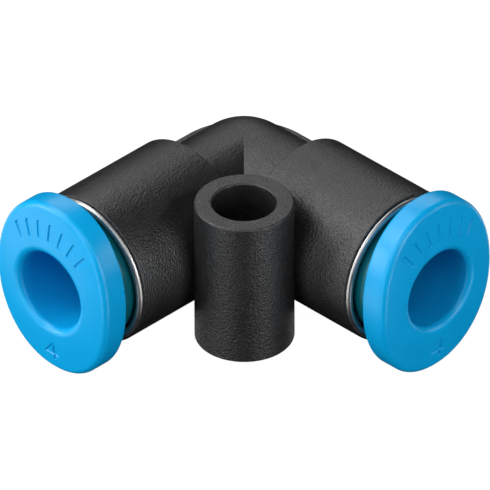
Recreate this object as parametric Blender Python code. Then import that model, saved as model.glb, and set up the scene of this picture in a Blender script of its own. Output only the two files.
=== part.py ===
"""Right-angle push-in fitting for two tubes of 4 mm, built as separate solids.

The axes of the two ports cross at one point, the corner. Each piece of a port is modelled in the port's own
frame: X runs outwards along the port's axis from the corner, so that a profile is a list of (distance along
the axis, radius) points. All sizes are in millimetres, and MM turns them into Blender's metres.
"""

import math

import bmesh
import bpy
from mathutils import Matrix, Vector

MM = 0.001
SIDES = 40  # facets round the outer pieces
INNER_SIDES = 28  # facets round the pieces inside the arms
SHARP_ANGLE = math.radians(32)
WELD = 1e-7  # metres

# Body: two arms on a bent neck
TUBE_BORE = 2.1
ARM_RADIUS = 4.0
ARM_START = 3.95
ARM_END = 11.0
ARM_EDGE = 0.1
NECK_RADIUS = 3.2
NECK_END = 5.0
PASSAGE_RADIUS = 1.3
TUBE_STOP = 3.0
SEAL_SEAT = (5.0, 6.5)
SEAL_SEAT_RADIUS = 3.0
CARTRIDGE_RADIUS = 3.7

# Web round the outside of the corner
WEB_REACH = 3.85
WEB_INNER = 2.0
WEB_END = 4.3
WEB_HALF_THICKNESS = 0.95
WEB_EDGE = 0.08
WEB_CORNER_STEPS = 12

# Mounting sleeve in the inside corner
SLEEVE_OFFSET = 5.5
SLEEVE_RADIUS = 2.5
SLEEVE_HALF_HEIGHT = 4.0
SLEEVE_EDGE = 0.12
SCREW_RADIUS = 1.6
SCREW_CHAMFER = 0.1

# Release ring: an oval flange on a round neck
FLANGE_FRONT = 13.78
FLANGE_BACK = 12.1
FLANGE_FLAT_RADIUS = 2.65  # the face is flat round the bore and slopes back outside this
FLANGE_SLOPE = 0.165
FLANGE_HALF_WIDTH = 3.88
FLANGE_HALF_HEIGHT = 4.83
FLANGE_SQUARENESS = 2.15  # 2 is a true ellipse
FLANGE_FRONT_EDGE = 0.3
FLANGE_BACK_EDGE = 0.16
MOUTH_EDGE = 0.35
RING_NECK_RADIUS = 3.4
RING_NECK_END = 11.0
RING_SLEEVE_RADIUS = 2.45
RING_BEAD_RADIUS = 2.68
RING_BEAD = (9.5, 9.82)
RING_NOSE = 8.35
RING_NOSE_RADIUS = 2.24
RING_NOSE_CONE = 0.35

# Collar: a turned sleeve with a rolled lip
COLLAR_BACK = 7.07
COLLAR_RADII = (3.48, 3.64)
COLLAR_SHOULDER = (9.9, 10.1)
COLLAR_SHOULDER_RADIUS = 2.53
LIP_RADIUS = 3.9
LIP_CENTRE = 11.04  # the rolled edge is a half round about this point
LIP_ROUND = 0.2

# Claws: stamped fingers that lean inwards, on an uncut rim
CLAW_COUNT = 6
CLAW_WIDTH_DEG = 46.0
CLAW_STEPS = 6
CLAW_HINGE = (9.55, 3.2)
CLAW_LENGTH = 2.5
CLAW_LEAN = math.radians(28.6)
CLAW_HALF_THICKNESS = 0.1
CLAW_TOOTH = 0.12
RIM = (9.68, 9.83)
RIM_RADII = (2.88, 3.4)

# Support ring and seal
SUPPORT = (6.58, 7.0)
SUPPORT_RADII = (2.18, 3.62)
SUPPORT_CHAMFER = 0.12
SEAL = (5.08, 6.42)
SEAL_RADII = (1.9, 2.93)
SEAL_ROOT_RADIUS = 2.35
SEAL_LIP = (5.5, 6.0)

# The origin is under the middle of the fitting, at the height of its lowest edge
CORNER = (
    (ARM_RADIUS - FLANGE_FRONT) / 2,
    (ARM_RADIUS - FLANGE_FRONT) / 2,
    FLANGE_HALF_HEIGHT,
)


def clear_scene():
    for item in list(bpy.data.objects):
        bpy.data.objects.remove(item, do_unlink=True)


def material(name, colour, roughness, metallic=0.0):
    made = bpy.data.materials.new(name)
    made.use_nodes = True
    shader = made.node_tree.nodes["Principled BSDF"]
    shader.inputs["Base Color"].default_value = (*colour, 1.0)
    shader.inputs["Roughness"].default_value = roughness
    shader.inputs["Metallic"].default_value = metallic
    made.diffuse_color = (*colour, 1.0)
    return made


def add_empty(name, parent=None, location=(0, 0, 0), turn_deg=0.0):
    empty = bpy.data.objects.new(name, None)
    bpy.context.collection.objects.link(empty)
    empty.parent = parent
    empty.location = [MM * value for value in location]
    empty.rotation_euler.z = math.radians(turn_deg)
    return empty


def add_object(name, mesh, parent, finish=None, location=(0, 0, 0)):
    item = bpy.data.objects.new(name, mesh)
    bpy.context.collection.objects.link(item)
    item.parent = parent
    item.location = [MM * value for value in location]
    if finish:
        mesh.materials.append(finish)
    return item


def finish_mesh(name, shape):
    """Scale a bmesh from millimetres to metres and turn it into a smooth-shaded mesh."""
    bmesh.ops.scale(shape, vec=(MM, MM, MM), verts=shape.verts)
    bmesh.ops.remove_doubles(shape, verts=shape.verts, dist=WELD)
    bmesh.ops.recalc_face_normals(shape, faces=shape.faces)
    mesh = bpy.data.meshes.new(name)
    shape.to_mesh(mesh)
    shape.free()
    mesh.shade_smooth()
    mesh.set_sharp_from_angle(angle=SHARP_ANGLE)
    return mesh


def arc(centre, radius, start_deg, end_deg, steps):
    """Points of an arc, as (along, radius), with angles from the port's axis."""
    points = []
    for step in range(steps + 1):
        angle = math.radians(start_deg + (end_deg - start_deg) * step / steps)
        points.append((centre[0] + radius * math.cos(angle), centre[1] + radius * math.sin(angle)))
    return points


def turned(name, profile, sides=SIDES, closed=True, turn_deg=360.0, axis="X"):
    """Spin a profile round the port's axis. A part turn is centred on +Y and gets flat ends."""
    shape = bmesh.new()
    start = Matrix.Rotation(math.radians(-turn_deg / 2), 4, "X") if turn_deg < 360 else Matrix()
    verts = [shape.verts.new(start @ Vector((along, radius, 0.0))) for along, radius in profile]
    pairs = zip(verts, verts[1:] + verts[:1] if closed else verts[1:])
    edges = [shape.edges.new(pair) for pair in pairs]
    bmesh.ops.spin(
        shape,
        geom=verts + edges,
        axis=(1, 0, 0),
        cent=(0, 0, 0),
        angle=math.radians(turn_deg),
        steps=sides,
        use_merge=turn_deg == 360,
    )
    if turn_deg < 360:
        bmesh.ops.holes_fill(shape, edges=[edge for edge in shape.edges if edge.is_boundary])
    if axis == "Z":
        bmesh.ops.rotate(shape, verts=shape.verts, matrix=Matrix.Rotation(math.radians(-90), 3, "Y"))
    return finish_mesh(name, shape)


def lofted(name, sections, sides=SIDES):
    """Join rings of (along, half width, half height, squareness, slope) into one closed skin with a bore."""
    shape = bmesh.new()
    rings = []
    for along, half_width, half_height, power, slope in sections:
        ring = []
        for step in range(sides):
            angle = math.tau * step / sides
            across, up = math.cos(angle), math.sin(angle)
            reach = (abs(across / half_width) ** power + abs(up / half_height) ** power) ** (-1 / power)
            back = slope * (reach - FLANGE_FLAT_RADIUS)
            ring.append(shape.verts.new((along - back, across * reach, up * reach)))
        rings.append(ring)
    for near, far in zip(rings, rings[1:] + rings[:1]):
        for step in range(sides):
            after = (step + 1) % sides
            shape.faces.new((near[step], near[after], far[after], far[step]))
    return finish_mesh(name, shape)


def bent(name, radius, length, sides=SIDES):
    """A round rod along +X and +Y from the corner: a ball corner outside, a mitre inside."""
    shape = bmesh.new()
    quarter = sides // 4
    turns = [math.tau * step / sides for step in range(sides)]
    inner_steps = [step % sides for step in range(-quarter, quarter + 1)]
    outer_steps = list(range(quarter, sides - quarter + 1))
    mitre = {}
    for step in inner_steps:
        across, up = radius * math.cos(turns[step]), radius * math.sin(turns[step])
        mitre[step] = shape.verts.new((across, across, up))

    def outer_row(sweep):
        row = {outer_steps[0]: mitre[quarter], outer_steps[-1]: mitre[sides - quarter]}
        for step in outer_steps[1:-1]:
            reach, up = -radius * math.cos(turns[step]), radius * math.sin(turns[step])
            row[step] = shape.verts.new((-reach * math.sin(sweep), -reach * math.cos(sweep), up))
        return row

    rows = [outer_row(math.radians(90) * step / quarter) for step in range(quarter + 1)]
    for near, far in zip(rows, rows[1:]):
        for step, after in zip(outer_steps, outer_steps[1:]):
            corners = [near[step], near[after], far[after], far[step]]
            shape.faces.new(list(dict.fromkeys(corners)))
    for row, along_x in ((rows[0], True), (rows[-1], False)):
        ring = {**mitre, **row}
        end = []
        for step in range(sides):
            across, up = radius * math.cos(turns[step]), radius * math.sin(turns[step])
            end.append(shape.verts.new((length, across, up) if along_x else (across, length, up)))
        for step in range(sides):
            after = (step + 1) % sides
            shape.faces.new((ring[step], ring[after], end[after], end[step]))
        shape.faces.new(end)
    return finish_mesh(name, shape)


def hide(item):
    item.hide_render = True
    item.display_type = "WIRE"
    return item


def combine(target, other, operation):
    modifier = target.modifiers.new(other.name, "BOOLEAN")
    modifier.object = hide(other)
    modifier.operation = operation
    modifier.solver = "EXACT"


def arm_mesh():
    edge = ARM_EDGE
    outer = ARM_RADIUS - edge
    profile = [(ARM_START, 0.0)]
    profile += arc((ARM_START + edge, outer), edge, 180, 90, 2)
    profile += arc((ARM_END - edge, outer), edge, 90, 0, 2)
    profile.append((ARM_END, 0.0))
    return turned("arm", profile, closed=False)


def arm_bore_mesh():
    profile = [
        (TUBE_STOP, 0.0),
        (TUBE_STOP, TUBE_BORE),
        (SEAL_SEAT[0], TUBE_BORE),
        (SEAL_SEAT[0], SEAL_SEAT_RADIUS),
        (SEAL_SEAT[1], SEAL_SEAT_RADIUS),
        (SEAL_SEAT[1], CARTRIDGE_RADIUS),
        (ARM_END + 1.0, CARTRIDGE_RADIUS),
        (ARM_END + 1.0, 0.0),
    ]
    return turned("arm_bore", profile, closed=False)


def web_mesh():
    """A flat band that follows the two necks and rounds the outside of the corner."""
    outline = [(WEB_END, -WEB_REACH)]
    outline += arc((0.0, 0.0), WEB_REACH, 270, 180, WEB_CORNER_STEPS)
    outline += [(-WEB_REACH, WEB_END), (-WEB_INNER, WEB_END), (-WEB_INNER, -WEB_INNER), (WEB_END, -WEB_INNER)]
    shape = bmesh.new()
    base = shape.faces.new([shape.verts.new((x, y, -WEB_HALF_THICKNESS)) for x, y in outline])
    grown = bmesh.ops.extrude_face_region(shape, geom=[base])["geom"]
    top = [item for item in grown if isinstance(item, bmesh.types.BMVert)]
    bmesh.ops.translate(shape, verts=top, vec=(0, 0, 2 * WEB_HALF_THICKNESS))
    edges = [edge for edge in shape.edges if abs(edge.verts[0].co.z - edge.verts[1].co.z) < WELD]
    bmesh.ops.bevel(shape, geom=edges, offset=WEB_EDGE, segments=2, profile=0.5, affect="EDGES")
    return finish_mesh("web", shape)


def sleeve_mesh():
    edge = SLEEVE_EDGE
    end = SLEEVE_HALF_HEIGHT - edge
    outer = SLEEVE_RADIUS - edge
    profile = [(-SLEEVE_HALF_HEIGHT, 0.0)]
    profile += arc((-end, outer), edge, 180, 90, 3)
    profile += arc((end, outer), edge, 90, 0, 3)
    profile.append((SLEEVE_HALF_HEIGHT, 0.0))
    return turned("sleeve", profile, closed=False, axis="Z")


def screw_hole_mesh():
    """A through hole whose two ends widen into small chamfers."""
    start = SLEEVE_HALF_HEIGHT - SCREW_CHAMFER
    end = SLEEVE_HALF_HEIGHT + 1.0
    wide = SCREW_RADIUS + end - start
    profile = [(-end, 0.0), (-end, wide), (-start, SCREW_RADIUS)]
    profile += [(start, SCREW_RADIUS), (end, wide), (end, 0.0)]
    return turned("screw_hole", profile, closed=False, axis="Z")


def build_body(corner, ports, finish):
    body = add_object("body", bent("body", NECK_RADIUS, NECK_END), corner, finish)
    middle = (SLEEVE_OFFSET, SLEEVE_OFFSET, 0.0)
    combine(body, add_object("web_shape", web_mesh(), corner), "UNION")
    arm = arm_mesh()
    for letter, port in ports.items():
        combine(body, add_object("arm_shape_" + letter, arm, port), "UNION")
    combine(body, add_object("sleeve_shape", sleeve_mesh(), corner, location=middle), "UNION")
    passage = bent("passage", PASSAGE_RADIUS, TUBE_STOP + 0.5, INNER_SIDES)
    combine(body, add_object("passage_cutter", passage, corner), "DIFFERENCE")
    bore = arm_bore_mesh()
    for letter, port in ports.items():
        combine(body, add_object("bore_cutter_" + letter, bore, port), "DIFFERENCE")
    hole = add_object("screw_cutter", screw_hole_mesh(), corner, location=middle)
    combine(body, hole, "DIFFERENCE")


def round_section(point):
    return (point[0], point[1], point[1], 2.0, 0.0)


def oval_section(point, slope):
    along, inset = point
    return (along, FLANGE_HALF_WIDTH - inset, FLANGE_HALF_HEIGHT - inset, FLANGE_SQUARENESS, slope)


def release_ring_mesh():
    nose_step = RING_NOSE + RING_NOSE_CONE
    bead_back, bead_front = RING_BEAD
    bead_rise = RING_BEAD_RADIUS - RING_SLEEVE_RADIUS
    inside = [(RING_NOSE, TUBE_BORE)]
    inside += arc((FLANGE_FRONT - MOUTH_EDGE, TUBE_BORE + MOUTH_EDGE), MOUTH_EDGE, 270, 360, 4)
    inside.append((FLANGE_FRONT, FLANGE_FLAT_RADIUS))
    outside = [
        (FLANGE_BACK, RING_NECK_RADIUS),
        (RING_NECK_END, RING_NECK_RADIUS),
        (RING_NECK_END, RING_SLEEVE_RADIUS),
        (bead_front, RING_SLEEVE_RADIUS),
        (bead_front, RING_BEAD_RADIUS),
        (bead_back, RING_BEAD_RADIUS),
        (bead_back - bead_rise, RING_SLEEVE_RADIUS),
        (nose_step, RING_SLEEVE_RADIUS),
        (RING_NOSE, RING_NOSE_RADIUS),
    ]
    front_edge, back_edge = FLANGE_FRONT_EDGE, FLANGE_BACK_EDGE
    front_rim = arc((FLANGE_FRONT - front_edge, front_edge), front_edge, 0, -90, 3)
    back_rim = arc((FLANGE_BACK + back_edge, back_edge), back_edge, -90, -180, 2)
    sections = [round_section(point) for point in inside]
    sections += [oval_section(point, FLANGE_SLOPE) for point in front_rim]
    sections += [oval_section(point, 0.0) for point in back_rim]
    sections += [round_section(point) for point in outside]
    return lofted("release_ring", sections)


def collar_mesh():
    """A plain sleeve with an inner shoulder for the claw rim and a rolled lip over the arm's end."""
    inner, outer = COLLAR_RADII
    back, front = COLLAR_SHOULDER
    profile = [
        (COLLAR_BACK, inner),
        (back, inner),
        (back, COLLAR_SHOULDER_RADIUS),
        (front, COLLAR_SHOULDER_RADIUS),
        (front, inner),
    ]
    profile.append((LIP_CENTRE - LIP_ROUND, inner))
    profile += arc((LIP_CENTRE, LIP_RADIUS - LIP_ROUND), LIP_ROUND, 270, 450, 5)
    profile += [(LIP_CENTRE, outer), (COLLAR_BACK, outer)]
    return turned("collar", profile)


def claw_rim_mesh():
    inner, outer = RIM_RADII
    profile = [(RIM[0], inner), (RIM[1], inner), (RIM[1], outer), (RIM[0], outer)]
    return turned("claw_rim", profile, INNER_SIDES)


def claw_mesh():
    """One finger, as a part turn of a leaning strip with a sharp tooth, with its origin on its hinge line."""
    along, out = CLAW_HINGE
    forward = (-math.cos(CLAW_LEAN), -math.sin(CLAW_LEAN))
    outward = (-math.sin(CLAW_LEAN), math.cos(CLAW_LEAN))
    corners = [
        (0.0, -CLAW_HALF_THICKNESS),
        (CLAW_LENGTH, -CLAW_HALF_THICKNESS),
        (CLAW_LENGTH - CLAW_TOOTH, CLAW_HALF_THICKNESS),
        (0.0, CLAW_HALF_THICKNESS),
    ]
    profile = []
    for reach, rise in corners:
        point_along = along + reach * forward[0] + rise * outward[0]
        point_out = out + reach * forward[1] + rise * outward[1]
        profile.append((point_along, point_out))
    mesh = turned("claw", profile, CLAW_STEPS, turn_deg=CLAW_WIDTH_DEG)
    mesh.transform(Matrix.Translation((-along * MM, -out * MM, 0.0)))
    return mesh


def support_ring_mesh():
    back, front = SUPPORT
    inner, outer = SUPPORT_RADII
    cut = SUPPORT_CHAMFER
    profile = [(back, inner + cut), (back + cut, inner), (front - cut, inner), (front, inner + cut)]
    profile += [(front, outer - cut), (front - cut, outer), (back, outer)]
    return turned("support_ring", profile, INNER_SIDES)


def seal_mesh():
    """A sealing ring with one rounded inner lip."""
    back, front = SEAL
    lip, outer = SEAL_RADII
    profile = [(back, SEAL_ROOT_RADIUS), (SEAL_LIP[0], lip), (SEAL_LIP[1], lip)]
    profile += [(front, SEAL_ROOT_RADIUS), (front, outer), (back, outer)]
    return turned("seal", profile, INNER_SIDES)


def build_port(letter, port, meshes):
    """Place one port's pieces: those turned round its axis, and the ring of claws on their hinge lines."""
    for kind in ("release_ring", "collar", "claw_rim", "support_ring", "seal"):
        add_object(f"{kind}_{letter}", meshes[kind], port)
    along, out = CLAW_HINGE
    for index in range(CLAW_COUNT):
        turn = math.tau * (index + 0.5) / CLAW_COUNT
        place = (along, out * math.cos(turn), out * math.sin(turn))
        claw = add_object(f"claw_{letter}_{index + 1}", meshes["claw"], port, location=place)
        claw.rotation_euler.x = turn


def main():
    clear_scene()
    black = material("black_plastic", (0.022, 0.022, 0.024), 0.48)
    blue = material("blue_plastic", (0.008, 0.31, 0.75), 0.32)
    steel = material("bright_metal", (0.62, 0.61, 0.60), 0.22, 1.0)
    spring_steel = material("spring_steel", (0.55, 0.55, 0.54), 0.3, 1.0)
    white = material("support_plastic", (0.62, 0.60, 0.55), 0.5)
    rubber = material("seal_rubber", (0.012, 0.012, 0.012), 0.65)

    corner = add_empty("tube_axes", location=CORNER)
    ports = {
        "a": add_empty("port_a", corner),
        "b": add_empty("port_b", corner, turn_deg=90),
    }
    build_body(corner, ports, black)
    meshes = {}
    for kind, maker, finish in (
        ("release_ring", release_ring_mesh, blue),
        ("collar", collar_mesh, steel),
        ("claw_rim", claw_rim_mesh, spring_steel),
        ("claw", claw_mesh, spring_steel),
        ("support_ring", support_ring_mesh, white),
        ("seal", seal_mesh, rubber),
    ):
        meshes[kind] = maker()
        meshes[kind].materials.append(finish)
    for letter, port in ports.items():
        build_port(letter, port, meshes)
    bpy.context.view_layer.update()


main()
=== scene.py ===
"""The looks of a right-angle push-in fitting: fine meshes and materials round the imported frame.

Each port's pieces are made in the port's own frame, in millimetres. X runs outwards along the port's axis
from the corner, where the two axes cross, so a profile is a list of (distance along the axis, radius) points.
"""

import math

import bmesh
import bpy
from mathutils import Matrix, Vector


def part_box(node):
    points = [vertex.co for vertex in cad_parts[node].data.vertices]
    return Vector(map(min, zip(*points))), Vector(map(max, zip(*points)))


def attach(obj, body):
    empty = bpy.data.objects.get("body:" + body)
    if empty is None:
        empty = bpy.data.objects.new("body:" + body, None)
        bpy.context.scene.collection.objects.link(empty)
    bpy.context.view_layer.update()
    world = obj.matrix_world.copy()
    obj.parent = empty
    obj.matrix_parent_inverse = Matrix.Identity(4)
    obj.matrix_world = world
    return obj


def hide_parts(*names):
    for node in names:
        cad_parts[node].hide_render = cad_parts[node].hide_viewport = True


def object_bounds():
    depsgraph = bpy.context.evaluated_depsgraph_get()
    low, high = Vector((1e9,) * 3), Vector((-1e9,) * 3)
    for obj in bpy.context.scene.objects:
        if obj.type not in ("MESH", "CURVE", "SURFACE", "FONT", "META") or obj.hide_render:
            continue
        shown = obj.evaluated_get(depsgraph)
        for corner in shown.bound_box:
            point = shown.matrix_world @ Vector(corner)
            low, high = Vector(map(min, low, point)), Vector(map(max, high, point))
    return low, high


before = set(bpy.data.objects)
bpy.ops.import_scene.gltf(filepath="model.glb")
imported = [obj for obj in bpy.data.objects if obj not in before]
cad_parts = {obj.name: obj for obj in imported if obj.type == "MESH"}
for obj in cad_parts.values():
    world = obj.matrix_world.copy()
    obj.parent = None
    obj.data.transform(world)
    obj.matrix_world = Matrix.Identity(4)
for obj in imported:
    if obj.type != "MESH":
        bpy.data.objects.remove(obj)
cad_low, cad_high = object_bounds()

MM = 0.001
SIDES = 144  # facets round the outer pieces
INNER_SIDES = 96
ROUND_STEPS = 9  # steps in a rounded edge
SHARP_ANGLE = math.radians(13)
WELD = 1e-7  # what is closer than this counts as one place
OVERRUN = 1.0  # how far a cutter runs past the end it opens

# Sizes that the frame gives, in millimetres
body_low, body_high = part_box("body")
flange_low, flange_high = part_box("release_ring_a")
ARM_RADIUS = (body_high.z - body_low.z) / 2 / MM
CORNER = Vector((body_low.x + ARM_RADIUS * MM, body_low.y + ARM_RADIUS * MM, (body_low.z + body_high.z) / 2))
ARM_END = (body_high.x - CORNER.x) / MM
FLANGE_FRONT = (flange_high.x - CORNER.x) / MM
FLANGE_HALF_WIDTH = (flange_high.y - flange_low.y) / 2 / MM
FLANGE_HALF_HEIGHT = (flange_high.z - flange_low.z) / 2 / MM

# Body
TUBE_BORE = 2.1
ARM_START = 3.95
ARM_EDGE = 0.11
NECK_RADIUS = 3.2
NECK_END = 5.0
PASSAGE_RADIUS = 1.3
TUBE_STOP = 3.0
SEAL_SEAT = (5.0, 6.5)
SEAL_SEAT_RADIUS = 3.0
CARTRIDGE_RADIUS = 3.7
WEB_REACH = 3.92
WEB_INNER = 2.0
WEB_END = 4.02
WEB_HALF_THICKNESS = 0.96
WEB_EDGE = 0.1
SLEEVE_OFFSET = 5.5
SLEEVE_RADIUS = 2.5
SLEEVE_EDGE = 0.1
SCREW_RADIUS = 1.6
SCREW_EDGE = 0.1

# Release ring
FLANGE_BACK = 12.1
FLANGE_FLAT_RADIUS = 2.5  # the face is flat round the bore and slopes back outside this
FLANGE_SLOPE = 0.155
FLANGE_SQUARENESS = 2.15  # 2 is a true ellipse
FLANGE_FRONT_EDGE = 0.3
FLANGE_BACK_EDGE = 0.16
MOUTH_EDGE = 0.35
RING_NECK_RADIUS = 3.4
RING_NECK_END = 11.0
RING_NECK_EDGE = 0.1
RING_SLEEVE_RADIUS = 2.45
RING_BEAD_RADIUS = 2.68
RING_BEAD = (9.5, 9.82)
RING_NOSE = 8.35
RING_NOSE_RADIUS = 2.24
RING_NOSE_CONE = 0.35
RING_NOSE_CHAMFER = 0.03
MARK_DEPTH = 0.07
MARK_SIDES = 24
# A mark's walls: (height over the face, reach past the mark's edge), both as parts of the depth
MARK_LEVELS = ((1.0, 0.7), (-0.6, -0.42), (-1.0, -0.85))
NUMERAL_HEIGHT = 1.0
NUMERAL_CENTRE = -3.64
STROKE_WIDTH = 0.16
GRIP_COUNT = 7
GRIP_SPAN_DEG = 78.0
GRIP_REACH = (3.05, 3.76)  # to the centres of the rounded ends
GRIP_WIDTH = 0.28

# Collar
COLLAR_BACK = 7.07
COLLAR_RADII = (3.48, 3.64)
COLLAR_SHOULDER = (9.9, 10.1)
COLLAR_SHOULDER_RADIUS = 2.53
LIP_RADIUS = 3.9
LIP_CENTRE = 11.04
LIP_ROUND = 0.2
LIP_STEPS = 20

# Inner pieces
CLAW_COUNT = 6
CLAW_WIDTH_DEG = 46.0
CLAW_STEPS = 14
CLAW_HINGE = (9.55, 3.2)
CLAW_LENGTH = 2.5
CLAW_LEAN = math.radians(28.6)
CLAW_HALF_THICKNESS = 0.1
CLAW_TOOTH = 0.12
RIM = (9.68, 9.83)
RIM_RADII = (2.88, 3.4)
SUPPORT = (6.58, 7.0)
SUPPORT_RADII = (2.18, 3.62)
SUPPORT_CHAMFER = 0.12
SEAL = (5.08, 6.42)
SEAL_RADII = (1.9, 2.93)
SEAL_ROOT_RADIUS = 2.35
SEAL_LIP_ROUND = 0.3

# Grain of the black plastic
GRAINS_PER_METRE = 8800.0
GRAIN_HEIGHT = 4.8e-5  # metres

# Camera: far away with a long lens, so that parallel edges stay almost parallel
LOOK_AT = (4.5, 4.5, 0.0)  # from the corner
AIM_RIGHT = 0.04
AIM_UP = 0.35
CAMERA_AZIMUTH = 135.05
CAMERA_ELEVATION = 34.73
CAMERA_ROLL = -0.26
CAMERA_DISTANCE = 900.0
CAMERA_LENS = 1327.0

# Softboxes: name, degrees round from the camera, degrees up, watts
SOFTBOX_DISTANCE = 0.5  # metres
SOFTBOX_SIZE = 0.24
SOFTBOXES = (
    ("back", 180, 35, 0.4),
    ("back_left_high", -135, 60, 0.6),
    ("left_high", -90, 45, 1.0),
    ("left", -90, 10, 1.2),
    ("front_left", -45, 35, 0.5),
    ("front_left_level", -45, 10, 0.4),
    ("front", 0, 45, 0.4),
    ("front_right", 45, 15, 1.0),
    ("right", 90, 15, 0.5),
    ("low_back_left", -135, -20, 0.2),
    ("low_left", -90, -20, 0.3),
    ("low_front_left", -45, -20, 0.4),
    ("low_front_right", 45, -20, 0.4),
    ("low_back_right", 135, -20, 0.2),
)


# Shapes

def finish_mesh(name, shape, sharp=SHARP_ANGLE):
    """Scale a bmesh from millimetres to metres and turn it into a smooth-shaded mesh."""
    bmesh.ops.scale(shape, vec=(MM, MM, MM), verts=shape.verts)
    bmesh.ops.remove_doubles(shape, verts=shape.verts, dist=WELD)
    bmesh.ops.recalc_face_normals(shape, faces=shape.faces)
    mesh = bpy.data.meshes.new(name)
    shape.to_mesh(mesh)
    shape.free()
    mesh.shade_smooth()
    mesh.set_sharp_from_angle(angle=sharp)
    return mesh


def arc(centre, radius, start_deg, end_deg, steps=ROUND_STEPS):
    """Points of an arc, as (along, radius), with angles from the port's axis."""
    points = []
    for step in range(steps + 1):
        angle = math.radians(start_deg + (end_deg - start_deg) * step / steps)
        points.append((centre[0] + radius * math.cos(angle), centre[1] + radius * math.sin(angle)))
    return points


def turned(name, profile, sides=SIDES, closed=True, turn_deg=360.0, axis="X"):
    """Spin a profile round the port's axis. A part turn is centred on +Y and gets flat ends."""
    shape = bmesh.new()
    start = Matrix.Rotation(math.radians(-turn_deg / 2), 4, "X") if turn_deg < 360 else Matrix()
    verts = [shape.verts.new(start @ Vector((along, radius, 0.0))) for along, radius in profile]
    pairs = zip(verts, verts[1:] + verts[:1] if closed else verts[1:])
    edges = [shape.edges.new(pair) for pair in pairs]
    bmesh.ops.spin(
        shape,
        geom=verts + edges,
        axis=(1, 0, 0),
        cent=(0, 0, 0),
        angle=math.radians(turn_deg),
        steps=sides,
        use_merge=turn_deg == 360,
    )
    if turn_deg < 360:
        bmesh.ops.holes_fill(shape, edges=[edge for edge in shape.edges if edge.is_boundary])
    if axis == "Z":
        bmesh.ops.rotate(shape, verts=shape.verts, matrix=Matrix.Rotation(math.radians(-90), 3, "Y"))
    return finish_mesh(name, shape)


def lofted(name, sections, sides=SIDES):
    """Join rings of (along, half width, half height, squareness, slope) into one closed skin with a bore."""
    shape = bmesh.new()
    rings = []
    for along, half_width, half_height, power, slope in sections:
        ring = []
        for step in range(sides):
            angle = math.tau * step / sides
            across, up = math.cos(angle), math.sin(angle)
            reach = (abs(across / half_width) ** power + abs(up / half_height) ** power) ** (-1 / power)
            back = slope * (reach - FLANGE_FLAT_RADIUS)
            ring.append(shape.verts.new((along - back, across * reach, up * reach)))
        rings.append(ring)
    for near, far in zip(rings, rings[1:] + rings[:1]):
        for step in range(sides):
            after = (step + 1) % sides
            shape.faces.new((near[step], near[after], far[after], far[step]))
    return finish_mesh(name, shape)


def bent(name, radius, length, sides=SIDES):
    """A round rod along +X and +Y from the corner: a ball corner outside, a mitre inside."""
    shape = bmesh.new()
    quarter = sides // 4
    turns = [math.tau * step / sides for step in range(sides)]
    inner_steps = [step % sides for step in range(-quarter, quarter + 1)]
    outer_steps = list(range(quarter, sides - quarter + 1))
    mitre = {}
    for step in inner_steps:
        across, up = radius * math.cos(turns[step]), radius * math.sin(turns[step])
        mitre[step] = shape.verts.new((across, across, up))

    def outer_row(sweep):
        row = {outer_steps[0]: mitre[quarter], outer_steps[-1]: mitre[sides - quarter]}
        for step in outer_steps[1:-1]:
            reach, up = -radius * math.cos(turns[step]), radius * math.sin(turns[step])
            row[step] = shape.verts.new((-reach * math.sin(sweep), -reach * math.cos(sweep), up))
        return row

    rows = [outer_row(math.radians(90) * step / quarter) for step in range(quarter + 1)]
    for near, far in zip(rows, rows[1:]):
        for step, after in zip(outer_steps, outer_steps[1:]):
            corners = [near[step], near[after], far[after], far[step]]
            shape.faces.new(list(dict.fromkeys(corners)))
    for row, along_x in ((rows[0], True), (rows[-1], False)):
        ring = {**mitre, **row}
        end = []
        for step in range(sides):
            across, up = radius * math.cos(turns[step]), radius * math.sin(turns[step])
            end.append(shape.verts.new((length, across, up) if along_x else (across, length, up)))
        for step in range(sides):
            after = (step + 1) % sides
            shape.faces.new((ring[step], ring[after], end[after], end[step]))
        shape.faces.new(end)
    return finish_mesh(name, shape)


def place(name, mesh, matrix):
    item = bpy.data.objects.new(name, mesh)
    bpy.context.scene.collection.objects.link(item)
    item.matrix_world = matrix
    return item


def combined(base, others):
    """The mesh of base after each (other, operation) has been joined to it or cut from it."""
    for other, operation in others:
        modifier = base.modifiers.new(other.name, "BOOLEAN")
        modifier.object = other
        modifier.operation = operation
        modifier.solver = "EXACT"
    bpy.context.view_layer.update()
    evaluated = base.evaluated_get(bpy.context.evaluated_depsgraph_get())
    mesh = bpy.data.meshes.new_from_object(evaluated)
    for other, _ in others:
        bpy.data.objects.remove(other, do_unlink=True)
    bpy.data.objects.remove(base, do_unlink=True)
    mesh.shade_smooth()
    mesh.set_sharp_from_angle(angle=SHARP_ANGLE)
    return mesh


def arm_mesh():
    edge = ARM_EDGE
    outer = ARM_RADIUS - edge
    profile = [(ARM_START, 0.0)]
    profile += arc((ARM_START + edge, outer), edge, 180, 90)
    profile += arc((ARM_END - edge, outer), edge, 90, 0)
    profile.append((ARM_END, 0.0))
    return turned("arm", profile, closed=False)


def arm_bore_mesh():
    profile = [
        (TUBE_STOP, 0.0),
        (TUBE_STOP, TUBE_BORE),
        (SEAL_SEAT[0], TUBE_BORE),
        (SEAL_SEAT[0], SEAL_SEAT_RADIUS),
        (SEAL_SEAT[1], SEAL_SEAT_RADIUS),
        (SEAL_SEAT[1], CARTRIDGE_RADIUS),
        (ARM_END + OVERRUN, CARTRIDGE_RADIUS),
        (ARM_END + OVERRUN, 0.0),
    ]
    return turned("arm_bore", profile, closed=False)


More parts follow.
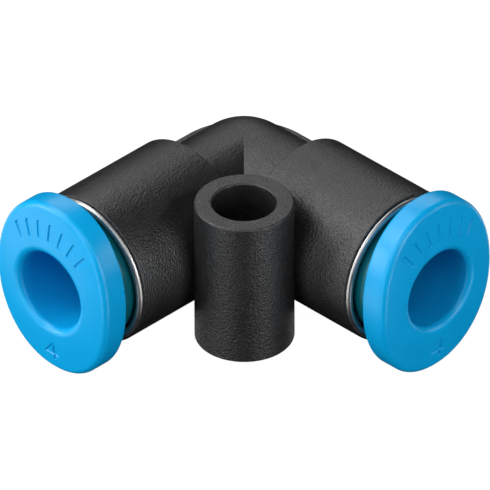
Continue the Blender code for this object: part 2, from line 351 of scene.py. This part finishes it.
def web_mesh():
    """A flat band that follows the two necks and rounds the outside of the corner."""
    outline = [(WEB_END, -WEB_REACH)]
    outline += arc((0.0, 0.0), WEB_REACH, 270, 180, SIDES // 4)
    outline += [(-WEB_REACH, WEB_END), (-WEB_INNER, WEB_END), (-WEB_INNER, -WEB_INNER), (WEB_END, -WEB_INNER)]
    shape = bmesh.new()
    base = shape.faces.new([shape.verts.new((x, y, -WEB_HALF_THICKNESS)) for x, y in outline])
    grown = bmesh.ops.extrude_face_region(shape, geom=[base])["geom"]
    top = [item for item in grown if isinstance(item, bmesh.types.BMVert)]
    bmesh.ops.translate(shape, verts=top, vec=(0, 0, 2 * WEB_HALF_THICKNESS))
    edges = [edge for edge in shape.edges if abs(edge.verts[0].co.z - edge.verts[1].co.z) < WELD]
    bmesh.ops.bevel(shape, geom=edges, offset=WEB_EDGE, segments=8, profile=0.5, affect="EDGES")
    return finish_mesh("web", shape)


def sleeve_mesh():
    edge = SLEEVE_EDGE
    end = ARM_RADIUS - edge
    outer = SLEEVE_RADIUS - edge
    profile = [(-ARM_RADIUS, 0.0)]
    profile += arc((-end, outer), edge, 180, 90)
    profile += arc((end, outer), edge, 90, 0)
    profile.append((ARM_RADIUS, 0.0))
    return turned("sleeve", profile, closed=False, axis="Z")


def screw_hole_mesh():
    """A through hole that rounds over into the sleeve's two ends."""
    top = ARM_RADIUS
    wide = SCREW_RADIUS + SCREW_EDGE
    profile = [(-top - OVERRUN, 0.0), (-top - OVERRUN, wide)]
    profile += arc((-top + SCREW_EDGE, wide), SCREW_EDGE, 180, 270)
    profile += arc((top - SCREW_EDGE, wide), SCREW_EDGE, 270, 360)
    profile += [(top + OVERRUN, wide), (top + OVERRUN, 0.0)]
    return turned("screw_hole", profile, closed=False, axis="Z")


def make_body(corner, ports):
    middle = corner @ Matrix.Translation(Vector((SLEEVE_OFFSET, SLEEVE_OFFSET, 0.0)) * MM)
    base = place("base", bent("base", NECK_RADIUS, NECK_END), corner)
    others = [(place("web", web_mesh(), corner), "UNION")]
    arm = arm_mesh()
    others += [(place("arm", arm, port), "UNION") for port in ports.values()]
    others.append((place("sleeve", sleeve_mesh(), middle), "UNION"))
    passage = bent("passage", PASSAGE_RADIUS, TUBE_STOP + OVERRUN / 2, INNER_SIDES)
    others.append((place("passage", passage, corner), "DIFFERENCE"))
    bore = arm_bore_mesh()
    others += [(place("bore", bore, port), "DIFFERENCE") for port in ports.values()]
    others.append((place("screw_hole", screw_hole_mesh(), middle), "DIFFERENCE"))
    return place("moulded_body", combined(base, others), corner)


def round_section(point):
    return (point[0], point[1], point[1], 2.0, 0.0)


def oval_section(point, slope):
    along, inset = point
    return (along, FLANGE_HALF_WIDTH - inset, FLANGE_HALF_HEIGHT - inset, FLANGE_SQUARENESS, slope)


def release_ring_mesh():
    nose_step = RING_NOSE + RING_NOSE_CONE
    bead_back, bead_front = RING_BEAD
    bead_rise = RING_BEAD_RADIUS - RING_SLEEVE_RADIUS
    inside = [(RING_NOSE, TUBE_BORE + RING_NOSE_CHAMFER), (RING_NOSE + RING_NOSE_CHAMFER, TUBE_BORE)]
    inside += arc((FLANGE_FRONT - MOUTH_EDGE, TUBE_BORE + MOUTH_EDGE), MOUTH_EDGE, 270, 360, 12)
    edge = RING_NECK_EDGE
    outside = arc((FLANGE_BACK - edge, RING_NECK_RADIUS + edge), edge, 0, -90)
    outside += arc((RING_NECK_END + edge, RING_NECK_RADIUS - edge), edge, 90, 180)
    outside += [
        (RING_NECK_END, RING_SLEEVE_RADIUS),
        (bead_front, RING_SLEEVE_RADIUS),
        (bead_front, RING_BEAD_RADIUS),
        (bead_back, RING_BEAD_RADIUS),
        (bead_back - bead_rise, RING_SLEEVE_RADIUS),
        (nose_step, RING_SLEEVE_RADIUS),
        (RING_NOSE, RING_NOSE_RADIUS),
    ]
    front_edge, back_edge = FLANGE_FRONT_EDGE, FLANGE_BACK_EDGE
    front_rim = arc((FLANGE_FRONT - front_edge, front_edge), front_edge, 0, -90, 10)
    back_rim = arc((FLANGE_BACK + back_edge, back_edge), back_edge, -90, -180)
    sections = [round_section(point) for point in inside]
    sections.append(round_section((FLANGE_FRONT, FLANGE_FLAT_RADIUS)))
    sections += [oval_section(point, FLANGE_SLOPE) for point in front_rim]
    sections += [oval_section(point, 0.0) for point in back_rim]
    sections += [round_section(point) for point in outside]
    return lofted("release_ring", sections)


def collar_mesh():
    """A plain sleeve with an inner shoulder for the claw rim and a round lip over the arm's end."""
    inner, outer = COLLAR_RADII
    back, front = COLLAR_SHOULDER
    profile = [
        (COLLAR_BACK, inner),
        (back, inner),
        (back, COLLAR_SHOULDER_RADIUS),
        (front, COLLAR_SHOULDER_RADIUS),
        (front, inner),
        (LIP_CENTRE - LIP_ROUND, inner),
    ]
    profile += arc((LIP_CENTRE, LIP_RADIUS - LIP_ROUND), LIP_ROUND, 270, 450, LIP_STEPS)
    profile += [(LIP_CENTRE, outer), (COLLAR_BACK, outer)]
    return turned("collar", profile)


def claw_rim_mesh():
    inner, outer = RIM_RADII
    profile = [(RIM[0], inner), (RIM[1], inner), (RIM[1], outer), (RIM[0], outer)]
    return turned("claw_rim", profile, INNER_SIDES)


def claw_mesh():
    """One finger: a part turn of a leaning strip that ends in a sharp tooth."""
    along, out = CLAW_HINGE
    forward = (-math.cos(CLAW_LEAN), -math.sin(CLAW_LEAN))
    outward = (-math.sin(CLAW_LEAN), math.cos(CLAW_LEAN))
    thick = CLAW_HALF_THICKNESS
    corners = [(0.0, -thick), (CLAW_LENGTH, -thick), (CLAW_LENGTH - CLAW_TOOTH, thick), (0.0, thick)]
    profile = []
    for reach, rise in corners:
        point_along = along + reach * forward[0] + rise * outward[0]
        point_out = out + reach * forward[1] + rise * outward[1]
        profile.append((point_along, point_out))
    return turned("claw", profile, CLAW_STEPS, turn_deg=CLAW_WIDTH_DEG)


def support_ring_mesh():
    back, front = SUPPORT
    inner, outer = SUPPORT_RADII
    cut = SUPPORT_CHAMFER
    profile = [(back, inner + cut), (back + cut, inner), (front - cut, inner), (front, inner + cut)]
    profile += [(front, outer - cut), (front - cut, outer), (back, outer)]
    return turned("support_ring", profile, INNER_SIDES)


def seal_mesh():
    """A sealing ring with one rounded inner lip."""
    back, front = SEAL
    lip, outer = SEAL_RADII
    middle = (back + front) / 2
    profile = [(back, outer), (back, SEAL_ROOT_RADIUS)]
    profile += arc((middle, lip + SEAL_LIP_ROUND), SEAL_LIP_ROUND, 215, 325, 12)
    profile += [(front, SEAL_ROOT_RADIUS), (front, outer)]
    return turned("seal", profile, INNER_SIDES)


def pocket_mesh(name, shapes, edge):
    """A cutter for shallow pockets in the flange's front.

    Each shape is a list of (across, up) points, such as a groove's two ends. The pocket reaches edge beyond
    them, and its walls lean.
    """
    shape = bmesh.new()
    for corners in shapes:
        rings = []
        for rise_share, reach_share in MARK_LEVELS:
            height = rise_share * MARK_DEPTH
            reach = edge + reach_share * MARK_DEPTH
            ring = []
            for step in range(MARK_SIDES):
                turn = math.tau * step / MARK_SIDES
                aside, rise = math.cos(turn), math.sin(turn)
                corner = max(corners, key=lambda point: point[0] * aside + point[1] * rise)
                across, up = corner[0] + reach * aside, corner[1] + reach * rise
                back = FLANGE_SLOPE * (math.hypot(across, up) - FLANGE_FLAT_RADIUS)
                ring.append(shape.verts.new((FLANGE_FRONT + height - back, across, up)))
            rings.append(ring)
        for near, far in zip(rings, rings[1:]):
            for step in range(MARK_SIDES):
                after = (step + 1) % MARK_SIDES
                shape.faces.new((near[step], near[after], far[after], far[step]))
        shape.faces.new(rings[0])
        shape.faces.new(rings[-1])
    return finish_mesh(name, shape)


def numeral_strokes():
    """The three strokes of a plain 4, the tube's size, below the bore."""
    top, bar, foot = 0.46, -0.18, -0.46
    strokes = [((0.14, top), (-0.4, bar)), ((-0.4, bar), (0.42, bar)), ((0.18, top), (0.18, foot))]
    size = NUMERAL_HEIGHT
    return [[(across * size, NUMERAL_CENTRE + up * size) for across, up in stroke] for stroke in strokes]


def grip_grooves():
    """Short radial grooves above the bore, for the fingertip."""
    grooves = []
    for index in range(GRIP_COUNT):
        turn = math.radians(GRIP_SPAN_DEG * (index / (GRIP_COUNT - 1) - 0.5))
        grooves.append([(-reach * math.sin(turn), reach * math.cos(turn)) for reach in GRIP_REACH])
    return grooves


# Materials

def new_material(name):
    made = bpy.data.materials.new(name)
    made.use_nodes = True
    tree = made.node_tree
    return made, tree, tree.nodes["Principled BSDF"]


def node(tree, kind, settings=None, **inputs):
    """Add a node, set its own settings, and set or link its inputs by name."""
    made = tree.nodes.new(kind)
    for key, value in (settings or {}).items():
        setattr(made, key, value)
    for key, value in inputs.items():
        socket = made.inputs[int(key[1:]) if key[0] == "_" else key.replace("_", " ")]
        if isinstance(value, bpy.types.NodeSocket):
            tree.links.new(value, socket)
        else:
            socket.default_value = value
    return made


def object_coordinates(tree):
    return node(tree, "ShaderNodeTexCoord").outputs["Object"]


def noise(tree, where, scale, detail=3.0, roughness=0.55):
    """Noise whose scale is in grains per metre."""
    made = node(tree, "ShaderNodeTexNoise", Vector=where, Scale=scale, Detail=detail, Roughness=roughness)
    return made.outputs["Fac"]


def spread(tree, value, low, high, start=0.3, end=0.7):
    """Map a value from start-end, by default the range most noise stays in, to low-high."""
    made = node(tree, "ShaderNodeMapRange", Value=value)
    for name, number in (("From Min", start), ("From Max", end), ("To Min", low), ("To Max", high)):
        made.inputs[name].default_value = number
    return made.outputs["Result"]


def mixed(tree, factor, first, second):
    ramp = tree.nodes.new("ShaderNodeMix")
    ramp.data_type = "RGBA"
    tree.links.new(factor, ramp.inputs["Factor"])
    for name, value in (("A", first), ("B", second)):
        if isinstance(value, bpy.types.NodeSocket):
            tree.links.new(value, ramp.inputs[name])
        else:
            ramp.inputs[name].default_value = (*value, 1.0)
    return ramp.outputs["Result"]


def bumped(tree, height, distance, strength=1.0, base=None):
    made = node(tree, "ShaderNodeBump", Height=height, Distance=distance, Strength=strength)
    if base is not None:
        tree.links.new(base, made.inputs["Normal"])
    return made.outputs["Normal"]


def from_axis(tree, axes):
    """The distance from the port's axis."""
    flat = node(tree, "ShaderNodeCombineXYZ", Y=axes.outputs["Y"], Z=axes.outputs["Z"])
    return node(tree, "ShaderNodeVectorMath", {"operation": "LENGTH"}, _0=flat.outputs[0]).outputs["Value"]


def black_plastic():
    """Black plastic with the fine leathery grain of an eroded mould, worn smoother on the grain's peaks."""
    made, tree, shader = new_material("black_moulded_plastic")
    where = object_coordinates(tree)
    broad = noise(tree, where, 900.0, 2.0)
    grain = noise(tree, where, GRAINS_PER_METRE, 2.0, 0.6)
    fine = noise(tree, where, 32000.0, 1.0)
    tint = spread(tree, grain, 0.0, 1.0, 0.38, 0.62)
    colour = mixed(tree, tint, (0.002, 0.002, 0.002), (0.013, 0.013, 0.0132))
    tree.links.new(colour, shader.inputs["Base Color"])
    patches = spread(tree, broad, 0.9, 1.1)
    peaks = spread(tree, grain, 0.47, 0.34, 0.38, 0.62)
    worn = node(tree, "ShaderNodeMath", {"operation": "MULTIPLY"}, _0=patches, _1=peaks)
    tree.links.new(worn.outputs[0], shader.inputs["Roughness"])
    normal = bumped(tree, grain, GRAIN_HEIGHT)
    normal = bumped(tree, fine, 3e-6, 1.0, normal)
    tree.links.new(normal, shader.inputs["Normal"])
    shader.inputs["Specular IOR Level"].default_value = 0.82
    return made


def blue_plastic():
    """Bright blue acetal, satin, with faint colour flow and painted shade: a darker colour on the neck behind
    the flange, where the recess lies in shade.
    """
    made, tree, shader = new_material("blue_acetal")
    where = object_coordinates(tree)
    broad = noise(tree, where, 500.0, 2.0)
    fine = noise(tree, where, 1600.0, 1.0)
    tint = spread(tree, broad, 0.0, 1.0)
    flange = mixed(tree, tint, (0.002, 0.355, 0.74), (0.003, 0.38, 0.78))
    # Painted shade: the neck behind the flange gets a dark teal colour for the shade in the recess between
    # flange and collar
    neck_painted_shade = mixed(tree, tint, (0.001, 0.10, 0.13), (0.001, 0.115, 0.15))
    axes = node(tree, "ShaderNodeSeparateXYZ", Vector=where)
    front = spread(tree, axes.outputs["X"], 0.0, 1.0, (FLANGE_BACK - 0.02) * MM, FLANGE_BACK * MM)
    bore = spread(tree, from_axis(tree, axes), 1.0, 0.0, (TUBE_BORE + 0.05) * MM, (TUBE_BORE + 0.1) * MM)
    # Flange colour in front of the flange's back and inside the bore; the painted shade everywhere else
    unshaded_mask = node(tree, "ShaderNodeMath", {"operation": "MAXIMUM"}, _0=front, _1=bore)
    tree.links.new(mixed(tree, unshaded_mask.outputs[0], neck_painted_shade, flange), shader.inputs["Base Color"])
    tree.links.new(spread(tree, fine, 0.27, 0.31, 0.2, 0.8), shader.inputs["Roughness"])
    tree.links.new(bumped(tree, fine, 2e-6, 0.5), shader.inputs["Normal"])
    shader.inputs["Specular IOR Level"].default_value = 0.3
    return made


def turned_steel(name, dark, light, roughness, line_scale):
    """Steel with fine turning lines round the port's axis."""
    made, tree, shader = new_material(name)
    where = object_coordinates(tree)
    axes = node(tree, "ShaderNodeSeparateXYZ", Vector=where)
    rings = node(tree, "ShaderNodeCombineXYZ", X=axes.outputs["X"], Y=from_axis(tree, axes))
    lines = noise(tree, rings.outputs["Vector"], line_scale, 2.0)
    patches = noise(tree, where, 1200.0, 3.0)
    tint = spread(tree, lines, 0.0, 1.0)
    tree.links.new(mixed(tree, tint, dark, light), shader.inputs["Base Color"])
    tree.links.new(spread(tree, patches, roughness - 0.05, roughness + 0.06), shader.inputs["Roughness"])
    tree.links.new(bumped(tree, lines, 2e-6, 0.5), shader.inputs["Normal"])
    shader.inputs["Metallic"].default_value = 1.0
    return made


def seal_rubber():
    made, tree, shader = new_material("nitrile_rubber")
    where = object_coordinates(tree)
    fine = noise(tree, where, 8000.0, 3.0)
    tint = spread(tree, fine, 0.0, 1.0)
    colour = mixed(tree, tint, (0.010, 0.010, 0.010), (0.020, 0.020, 0.019))
    tree.links.new(colour, shader.inputs["Base Color"])
    tree.links.new(spread(tree, fine, 0.55, 0.7), shader.inputs["Roughness"])
    tree.links.new(bumped(tree, fine, 3e-6, 0.6), shader.inputs["Normal"])
    return made


def natural_plastic():
    made, tree, shader = new_material("natural_acetal")
    where = object_coordinates(tree)
    broad = noise(tree, where, 1500.0, 3.0)
    tint = spread(tree, broad, 0.0, 1.0)
    tree.links.new(mixed(tree, tint, (0.58, 0.56, 0.50), (0.66, 0.64, 0.59)), shader.inputs["Base Color"])
    tree.links.new(spread(tree, broad, 0.38, 0.5), shader.inputs["Roughness"])
    tree.links.new(bumped(tree, broad, 2e-6, 0.5), shader.inputs["Normal"])
    return made


# Pieces on their bodies

def dress(item, body, slot_name, finish, *nodes):
    item.data.materials.clear()
    item.data.materials.append(finish)
    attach(item, body)
    if nodes:
        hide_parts(*nodes)


def make_port(letter, port, finishes):
    root, ring = "fitting_body", "ring_" + letter
    steel = finishes["claw_steel"]
    cutters = [pocket_mesh("stroke", [stroke], STROKE_WIDTH / 2) for stroke in numeral_strokes()]
    cutters.append(pocket_mesh("grooves", grip_grooves(), GRIP_WIDTH / 2))
    marks = [(place("mark", cutter, port), "DIFFERENCE") for cutter in cutters]
    base = place("ring_base", release_ring_mesh(), port)
    item = place("blue_ring_" + letter, combined(base, marks), port)
    dress(item, ring, "ring_plastic", finishes["ring_plastic"], "release_ring_" + letter)
    for name, mesh, slot_name, node_name in (
        ("lipped_collar_", collar_mesh(), "collar_metal", "collar_"),
        ("stamped_rim_", claw_rim_mesh(), "claw_steel", "claw_rim_"),
        ("guide_ring_", support_ring_mesh(), "support_plastic", "support_ring_"),
        ("lip_seal_", seal_mesh(), "seal_rubber", "seal_"),
    ):
        item = place(name + letter, mesh, port)
        dress(item, root, slot_name, finishes[slot_name], node_name + letter)
    for index in range(CLAW_COUNT):
        turn = Matrix.Rotation(math.tau * (index + 0.5) / CLAW_COUNT, 4, "X")
        number = f"{letter}_{index + 1}"
        item = place("gripping_finger_" + number, claw_mesh(), port @ turn)
        dress(item, "claw_" + number, "claw_steel", steel, "claw_" + number)


# Stage

def towards(azimuth_deg, elevation_deg):
    """The direction of a place seen from the fitting. Azimuth 0 is in front, on -Y, and 90 is on +X."""
    azimuth, elevation = math.radians(azimuth_deg), math.radians(elevation_deg)
    level = math.cos(elevation)
    return Vector((math.sin(azimuth) * level, -math.cos(azimuth) * level, math.sin(elevation)))


def make_camera(corner):
    back = towards(CAMERA_AZIMUTH, CAMERA_ELEVATION)
    azimuth = math.radians(CAMERA_AZIMUTH)
    right = Vector((math.cos(azimuth), math.sin(azimuth), 0.0))
    up = back.cross(right)
    roll = math.radians(CAMERA_ROLL)
    rolled_right = right * math.cos(roll) + up * math.sin(roll)
    rolled_up = up * math.cos(roll) - right * math.sin(roll)
    aim = corner.translation + (Vector(LOOK_AT) + right * AIM_RIGHT + up * AIM_UP) * MM
    camera_data = bpy.data.cameras.new("camera")
    camera_data.lens = CAMERA_LENS
    camera_data.clip_start = CAMERA_DISTANCE * MM / 2
    camera_data.clip_end = CAMERA_DISTANCE * MM * 3
    camera = bpy.data.objects.new("camera", camera_data)
    bpy.context.scene.collection.objects.link(camera)
    turn = Matrix((rolled_right, rolled_up, back)).transposed()
    camera.matrix_world = Matrix.Translation(aim + back * CAMERA_DISTANCE * MM) @ turn.to_4x4()
    bpy.context.scene.camera = camera


def soft_light(name, target, azimuth_deg, elevation_deg, power):
    """A square softbox that faces target."""
    back = towards(azimuth_deg, elevation_deg)
    data = bpy.data.lights.new(name, "AREA")
    data.shape = "SQUARE"
    data.size = SOFTBOX_SIZE
    data.energy = power
    light = bpy.data.objects.new(name, data)
    bpy.context.scene.collection.objects.link(light)
    light.location = target + back * SOFTBOX_DISTANCE
    light.rotation_mode = "QUATERNION"
    light.rotation_quaternion = (-back).to_track_quat("-Z", "Y")


def make_floor(level):
    shape = bmesh.new()
    bmesh.ops.create_grid(shape, x_segments=1, y_segments=1, size=4.0)
    mesh = bpy.data.meshes.new("floor")
    shape.to_mesh(mesh)
    shape.free()
    floor = place("floor", mesh, Matrix.Translation((0.0, 0.0, level)))
    made, _, shader = new_material("pale_floor")
    shader.inputs["Base Color"].default_value = (0.12, 0.12, 0.12, 1.0)
    shader.inputs["Roughness"].default_value = 0.9
    shader.inputs["Specular IOR Level"].default_value = 0.0
    shader.inputs["Emission Color"].default_value = (1.0, 1.0, 1.0, 1.0)
    shader.inputs["Emission Strength"].default_value = 0.98
    mesh.materials.append(made)
    floor.visible_diffuse = False
    floor.visible_glossy = False
    floor.visible_shadow = False


def make_world():
    """A world that the camera sees as white and that gives no light."""
    world = bpy.data.worlds.new("studio")
    bpy.context.scene.world = world
    world.use_nodes = True
    tree = world.node_tree
    tree.nodes.clear()
    dark = node(tree, "ShaderNodeBackground", Color=(1, 1, 1, 1), Strength=0.0)
    seen = node(tree, "ShaderNodeBackground", Color=(1, 1, 1, 1), Strength=1.0)
    path = node(tree, "ShaderNodeLightPath")
    mix = node(tree, "ShaderNodeMixShader", _0=path.outputs["Is Camera Ray"])
    tree.links.new(dark.outputs[0], mix.inputs[1])
    tree.links.new(seen.outputs[0], mix.inputs[2])
    out = node(tree, "ShaderNodeOutputWorld")
    tree.links.new(mix.outputs[0], out.inputs["Surface"])


corner = Matrix.Translation(CORNER)
ports = {"a": corner, "b": corner @ Matrix.Rotation(math.radians(90), 4, "Z")}
make_camera(corner)
finishes = {
    "body_plastic": black_plastic(),
    "ring_plastic": blue_plastic(),
    "collar_metal": turned_steel("bright_collar", (0.50, 0.495, 0.49), (0.62, 0.615, 0.61), 0.4, 26000.0),
    "claw_steel": turned_steel("spring_steel", (0.46, 0.46, 0.45), (0.60, 0.60, 0.59), 0.32, 12000.0),
    "support_plastic": natural_plastic(),
    "seal_rubber": seal_rubber(),
}
dress(make_body(corner, ports), "fitting_body", "body_plastic", finishes["body_plastic"], "body")
for letter, port in ports.items():
    make_port(letter, port, finishes)

make_floor(cad_low.z)
make_world()
middle = (cad_low + cad_high) / 2
for name, turn, rise, power in SOFTBOXES:
    soft_light("softbox_" + name, middle, CAMERA_AZIMUTH + turn, rise, power)
bpy.context.scene.view_settings.view_transform = "Standard"
